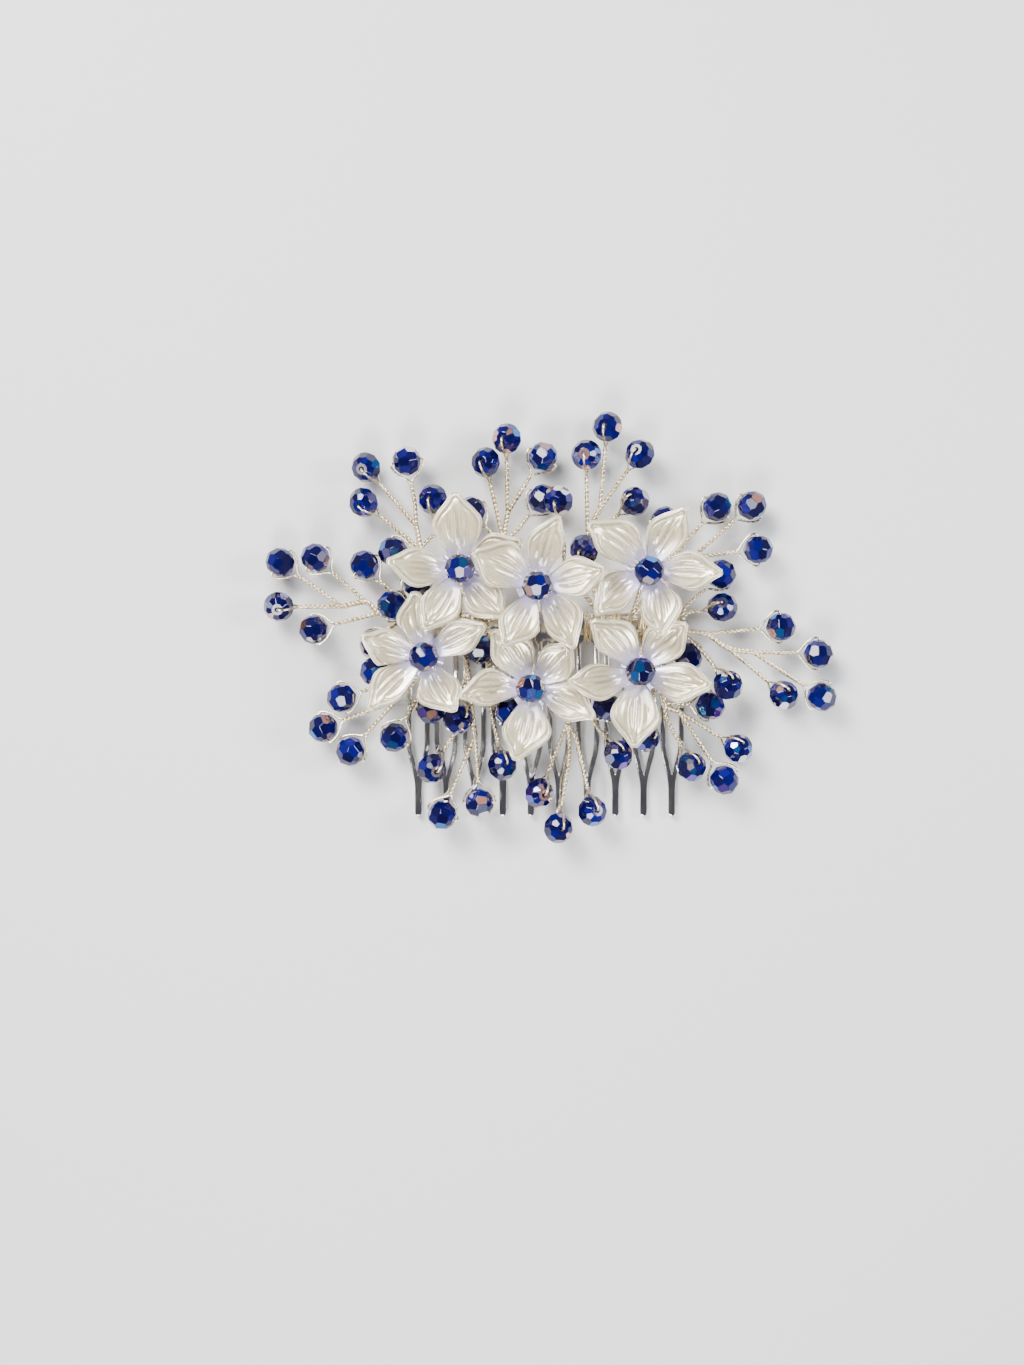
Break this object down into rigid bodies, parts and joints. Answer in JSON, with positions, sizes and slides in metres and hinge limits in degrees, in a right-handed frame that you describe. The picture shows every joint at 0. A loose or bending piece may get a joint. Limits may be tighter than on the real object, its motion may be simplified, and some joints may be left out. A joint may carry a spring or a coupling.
{
  "type": "decorative hair comb",
  "caption": "Hair comb with flat metal teeth, moulded pearl flowers and faceted glass beads on twisted wire sprays lashed to its spine.",
  "frame": {"origin": "centre of the comb's spine, on its underside, which lies against the head", "axes": "+X along the spine, -Y along the teeth towards their tips, +Z out of the decorated side"},
  "size_m": [0.1148, 0.0864, 0.0249],
  "materials": {
    "comb": "polished silver plate",
    "wire": "bright champagne-silver craft wire",
    "binding": "pale gold craft wire",
    "bead": "cobalt blue, fire polished, with an iridescent coat",
    "petal": "pearlescent ivory"
  },
  "bodies": {
    "root": {"binding_wire": "binding", "comb": "comb", "flower_lower_left": "petal", "flower_lower_middle": "petal", "flower_lower_right": "petal", "flower_upper_left": "petal", "flower_upper_middle": "petal", "flower_upper_right": "petal", "wire_lower_left": "wire", "wire_lower_right": "wire", "wire_right": "wire", "wire_upper_left": "wire", "wire_upper_middle": "wire", "wire_upper_right": "wire"},
    "bead_upper_left_1": {"bead_upper_left_1": "bead"},
    "bead_upper_left_2": {"bead_upper_left_2": "bead"},
    "bead_upper_left_3": {"bead_upper_left_3": "bead"},
    "bead_upper_left_4": {"bead_upper_left_4": "bead"},
    "bead_upper_left_5": {"bead_upper_left_5": "bead"},
    "bead_upper_left_6": {"bead_upper_left_6": "bead"},
    "bead_upper_left_7": {"bead_upper_left_7": "bead"},
    "bead_upper_left_8": {"bead_upper_left_8": "bead"},
    "bead_upper_left_9": {"bead_upper_left_9": "bead"},
    "bead_upper_left_10": {"bead_upper_left_10": "bead"},
    "centre_bead_upper_left": {"centre_bead_upper_left": "bead"},
    "bead_upper_middle_1": {"bead_upper_middle_1": "bead"},
    "bead_upper_middle_2": {"bead_upper_middle_2": "bead"},
    "bead_upper_middle_3": {"bead_upper_middle_3": "bead"},
    "centre_bead_upper_middle": {"centre_bead_upper_middle": "bead"},
    "bead_upper_right_1": {"bead_upper_right_1": "bead"},
    "bead_upper_right_2": {"bead_upper_right_2": "bead"},
    "bead_upper_right_3": {"bead_upper_right_3": "bead"},
    "bead_upper_right_4": {"bead_upper_right_4": "bead"},
    "bead_upper_right_5": {"bead_upper_right_5": "bead"},
    "bead_upper_right_6": {"bead_upper_right_6": "bead"},
    "bead_upper_right_7": {"bead_upper_right_7": "bead"},
    "centre_bead_upper_right": {"centre_bead_upper_right": "bead"},
    "bead_right_1": {"bead_right_1": "bead"},
    "bead_right_2": {"bead_right_2": "bead"},
    "bead_right_3": {"bead_right_3": "bead"},
    "bead_right_4": {"bead_right_4": "bead"},
    "bead_right_5": {"bead_right_5": "bead"},
    "bead_right_6": {"bead_right_6": "bead"},
    "bead_lower_right_1": {"bead_lower_right_1": "bead"},
    "bead_lower_right_2": {"bead_lower_right_2": "bead"},
    "bead_lower_right_3": {"bead_lower_right_3": "bead"},
    "bead_lower_right_4": {"bead_lower_right_4": "bead"},
    "bead_lower_right_5": {"bead_lower_right_5": "bead"},
    "bead_lower_right_6": {"bead_lower_right_6": "bead"},
    "centre_bead_lower_right": {"centre_bead_lower_right": "bead"},
    "bead_lower_left_1": {"bead_lower_left_1": "bead"},
    "bead_lower_left_2": {"bead_lower_left_2": "bead"},
    "bead_lower_left_3": {"bead_lower_left_3": "bead"},
    "bead_lower_left_4": {"bead_lower_left_4": "bead"},
    "bead_lower_left_5": {"bead_lower_left_5": "bead"},
    "bead_lower_left_6": {"bead_lower_left_6": "bead"},
    "bead_lower_left_7": {"bead_lower_left_7": "bead"},
    "bead_lower_left_8": {"bead_lower_left_8": "bead"},
    "centre_bead_lower_left": {"centre_bead_lower_left": "bead"},
    "centre_bead_lower_middle": {"centre_bead_lower_middle": "bead"}
  },
  "joints": [
    {"name": "bead_upper_left_1_spin", "type": "hinge", "parent": "root", "child": "bead_upper_left_1", "pos_m": [-0.036, 0.0316, 0.0051], "axis": [-0.2589, -0.2235, 0.9397], "continuous": true},
    {"name": "bead_upper_left_2_spin", "type": "hinge", "parent": "root", "child": "bead_upper_left_2", "pos_m": [-0.0278, 0.0329, 0.0055], "axis": [-0.9722, -0.1885, 0.1391], "continuous": true},
    {"name": "bead_upper_left_3_spin", "type": "hinge", "parent": "root", "child": "bead_upper_left_3", "pos_m": [-0.0365, 0.0246, 0.0049], "axis": [-0.2767, -0.3197, 0.9062], "continuous": true},
    {"name": "bead_upper_left_4_spin", "type": "hinge", "parent": "root", "child": "bead_upper_left_4", "pos_m": [-0.0226, 0.0252, 0.0055], "axis": [-0.2581, -0.0195, 0.9659], "continuous": true},
    {"name": "bead_upper_left_5_spin", "type": "hinge", "parent": "root", "child": "bead_upper_left_5", "pos_m": [-0.0535, 0.0037, 0.0049], "axis": [0, -0.2588, 0.9659], "continuous": true},
    {"name": "bead_upper_left_6_spin", "type": "hinge", "parent": "root", "child": "bead_upper_left_6", "pos_m": [-0.0532, 0.0126, 0.0047], "axis": [-0.5761, -0.7987, 0.1736], "continuous": true},
    {"name": "bead_upper_left_7_spin", "type": "hinge", "parent": "root", "child": "bead_upper_left_7", "pos_m": [-0.0461, 0.0135, 0.005], "axis": [-0.6581, -0.7478, 0.0872], "continuous": true},
    {"name": "bead_upper_left_8_spin", "type": "hinge", "parent": "root", "child": "bead_upper_left_8", "pos_m": [-0.0465, -0.0009, 0.0047], "axis": [0.2341, -0.9371, 0.2588], "continuous": true},
    {"name": "bead_upper_left_9_spin", "type": "hinge", "parent": "root", "child": "bead_upper_left_9", "pos_m": [-0.0363, 0.0121, 0.0049], "axis": [-0.7031, -0.68, 0.2079], "continuous": true},
    {"name": "bead_upper_left_10_spin", "type": "hinge", "parent": "root", "child": "bead_upper_left_10", "pos_m": [-0.0306, 0.0038, 0.0088], "axis": [-0.312, -0.935, 0.1687], "continuous": true},
    {"name": "centre_bead_upper_left_spin", "type": "hinge", "parent": "root", "child": "centre_bead_upper_left", "pos_m": [-0.0168, 0.0106, 0.0188], "axis": [0.0698, -0.9976, 0], "continuous": true},
    {"name": "bead_upper_middle_1_spin", "type": "hinge", "parent": "root", "child": "bead_upper_middle_1", "pos_m": [-0.012, 0.0327, 0.0047], "axis": [-0.3706, -0.0594, 0.9269], "continuous": true},
    {"name": "bead_upper_middle_2_spin", "type": "hinge", "parent": "root", "child": "bead_upper_middle_2", "pos_m": [-0.0078, 0.0373, 0.0061], "axis": [-0.3083, -0.0551, 0.9497], "continuous": true},
    {"name": "bead_upper_middle_3_spin", "type": "hinge", "parent": "root", "child": "bead_upper_middle_3", "pos_m": [-0.0005, 0.0338, 0.0051], "axis": [-0.8346, 0.5228, 0.1736], "continuous": true},
    {"name": "centre_bead_upper_middle_spin", "type": "hinge", "parent": "root", "child": "centre_bead_upper_middle", "pos_m": [-0.0018, 0.0071, 0.02126], "axis": [0.0523, -0.9986, 0], "continuous": true},
    {"name": "bead_upper_right_1_spin", "type": "hinge", "parent": "root", "child": "bead_upper_right_1", "pos_m": [0.0124, 0.0398, 0.0051], "axis": [-0.2745, 0.0248, 0.9613], "continuous": true},
    {"name": "bead_upper_right_2_spin", "type": "hinge", "parent": "root", "child": "bead_upper_right_2", "pos_m": [0.0189, 0.0343, 0.0053], "axis": [-0.3378, 0.227, 0.9135], "continuous": true},
    {"name": "bead_upper_right_3_spin", "type": "hinge", "parent": "root", "child": "bead_upper_right_3", "pos_m": [0.0082, 0.0341, 0.0055], "axis": [-0.2076, -0.0262, 0.9779], "continuous": true},
    {"name": "bead_upper_right_4_spin", "type": "hinge", "parent": "root", "child": "bead_upper_right_4", "pos_m": [0.0179, 0.0248, 0.0053], "axis": [-0.3194, 0.3847, 0.866], "continuous": true},
    {"name": "bead_upper_right_5_spin", "type": "hinge", "parent": "root", "child": "bead_upper_right_5", "pos_m": [0.0344, 0.0237, 0.0052], "axis": [-0.7455, 0.6518, 0.1392], "continuous": true},
    {"name": "bead_upper_right_6_spin", "type": "hinge", "parent": "root", "child": "bead_upper_right_6", "pos_m": [0.0414, 0.024, 0.005], "axis": [-0.6458, 0.7347, 0.2079], "continuous": true},
    {"name": "bead_upper_right_7_spin", "type": "hinge", "parent": "root", "child": "bead_upper_right_7", "pos_m": [0.0427, 0.0152, 0.0048], "axis": [-0.1182, 0.9875, 0.1045], "continuous": true},
    {"name": "centre_bead_upper_right_spin", "type": "hinge", "parent": "root", "child": "centre_bead_upper_right", "pos_m": [0.0198, 0.0101, 0.01921], "axis": [0.809, -0.5878, 0], "continuous": true},
    {"name": "bead_right_1_spin", "type": "hinge", "parent": "root", "child": "bead_right_1", "pos_m": [0.0472, -0.0003, 0.005], "axis": [-0.0995, 0.9853, 0.1392], "continuous": true},
    {"name": "bead_right_2_spin", "type": "hinge", "parent": "root", "child": "bead_right_2", "pos_m": [0.0548, -0.0057, 0.0049], "axis": [0.0235, 0.9845, 0.1736], "continuous": true},
    {"name": "bead_right_3_spin", "type": "hinge", "parent": "root", "child": "bead_right_3", "pos_m": [0.0555, -0.0144, 0.0047], "axis": [0.5321, 0.8208, 0.2079], "continuous": true},
    {"name": "bead_right_4_spin", "type": "hinge", "parent": "root", "child": "bead_right_4", "pos_m": [0.0478, -0.014, 0.0049], "axis": [0.2615, 0.3115, 0.9135], "continuous": true},
    {"name": "bead_right_5_spin", "type": "hinge", "parent": "root", "child": "bead_right_5", "pos_m": [0.0354, 0.0036, 0.0057], "axis": [-0.106, 0.2949, 0.9496], "continuous": true},
    {"name": "bead_right_6_spin", "type": "hinge", "parent": "root", "child": "bead_right_6", "pos_m": [0.0362, -0.012, 0.0089], "axis": [0.2287, 0.4309, 0.873], "continuous": true},
    {"name": "bead_lower_right_1_spin", "type": "hinge", "parent": "root", "child": "bead_lower_right_1", "pos_m": [0.0094, -0.0372, 0.0063], "axis": [0.3264, 0.1073, 0.9391], "continuous": true},
    {"name": "bead_lower_right_2_spin", "type": "hinge", "parent": "root", "child": "bead_lower_right_2", "pos_m": [0.0026, -0.0406, 0.0063], "axis": [0.2765, -0.0134, 0.9609], "continuous": true},
    {"name": "bead_lower_right_3_spin", "type": "hinge", "parent": "root", "child": "bead_lower_right_3", "pos_m": [-0.0012, -0.0336, 0.0063], "axis": [0.3615, -0.1049, 0.9265], "continuous": true},
    {"name": "bead_lower_right_4_spin", "type": "hinge", "parent": "root", "child": "bead_lower_right_4", "pos_m": [0.0386, -0.0247, 0.0055], "axis": [0.2586, 0.392, 0.8829], "continuous": true},
    {"name": "bead_lower_right_5_spin", "type": "hinge", "parent": "root", "child": "bead_lower_right_5", "pos_m": [0.0358, -0.031, 0.0056], "axis": [0.8253, 0.5472, 0.1392], "continuous": true},
    {"name": "bead_lower_right_6_spin", "type": "hinge", "parent": "root", "child": "bead_lower_right_6", "pos_m": [0.0292, -0.0283, 0.0061], "axis": [0.4367, 0.244, 0.8659], "continuous": true},
    {"name": "centre_bead_lower_right_spin", "type": "hinge", "parent": "root", "child": "centre_bead_lower_right", "pos_m": [0.0183, -0.0094, 0.01696], "axis": [0.0262, 0.9997, 0], "continuous": true},
    {"name": "bead_lower_left_1_spin", "type": "hinge", "parent": "root", "child": "bead_lower_left_1", "pos_m": [-0.0303, -0.0225, 0.0055], "axis": [0.8573, -0.4847, 0.1736], "continuous": true},
    {"name": "bead_lower_left_2_spin", "type": "hinge", "parent": "root", "child": "bead_lower_left_2", "pos_m": [-0.0391, -0.0253, 0.0049], "axis": [0.7336, -0.6651, 0.1391], "continuous": true},
    {"name": "bead_lower_left_3_spin", "type": "hinge", "parent": "root", "child": "bead_lower_left_3", "pos_m": [-0.0446, -0.0206, 0.0052], "axis": [0.3393, -0.9174, 0.2079], "continuous": true},
    {"name": "bead_lower_left_4_spin", "type": "hinge", "parent": "root", "child": "bead_lower_left_4", "pos_m": [-0.0409, -0.0146, 0.005], "axis": [0.3093, -0.9452, 0.1045], "continuous": true},
    {"name": "bead_lower_left_5_spin", "type": "hinge", "parent": "root", "child": "bead_lower_left_5", "pos_m": [-0.0132, -0.0356, 0.0063], "axis": [0.9877, 0.0715, 0.1391], "continuous": true},
    {"name": "bead_lower_left_6_spin", "type": "hinge", "parent": "root", "child": "bead_lower_left_6", "pos_m": [-0.0207, -0.038, 0.0061], "axis": [0.9099, -0.3768, 0.1736], "continuous": true},
    {"name": "bead_lower_left_7_spin", "type": "hinge", "parent": "root", "child": "bead_lower_left_7", "pos_m": [-0.0227, -0.0287, 0.0063], "axis": [0.3888, -0.2059, 0.898], "continuous": true},
    {"name": "bead_lower_left_8_spin", "type": "hinge", "parent": "root", "child": "bead_lower_left_8", "pos_m": [-0.0086, -0.028, 0.0063], "axis": [0.3267, 0.1114, 0.9385], "continuous": true},
    {"name": "centre_bead_lower_left_spin", "type": "hinge", "parent": "root", "child": "centre_bead_lower_left", "pos_m": [-0.0239, -0.0065, 0.01675], "axis": [-0.6561, 0.7547, 0], "continuous": true},
    {"name": "centre_bead_lower_middle_spin", "type": "hinge", "parent": "root", "child": "centre_bead_lower_middle", "pos_m": [-0.003, -0.0127, 0.0147], "axis": [0.1305, 0.9914, 0], "continuous": true}
  ]
}
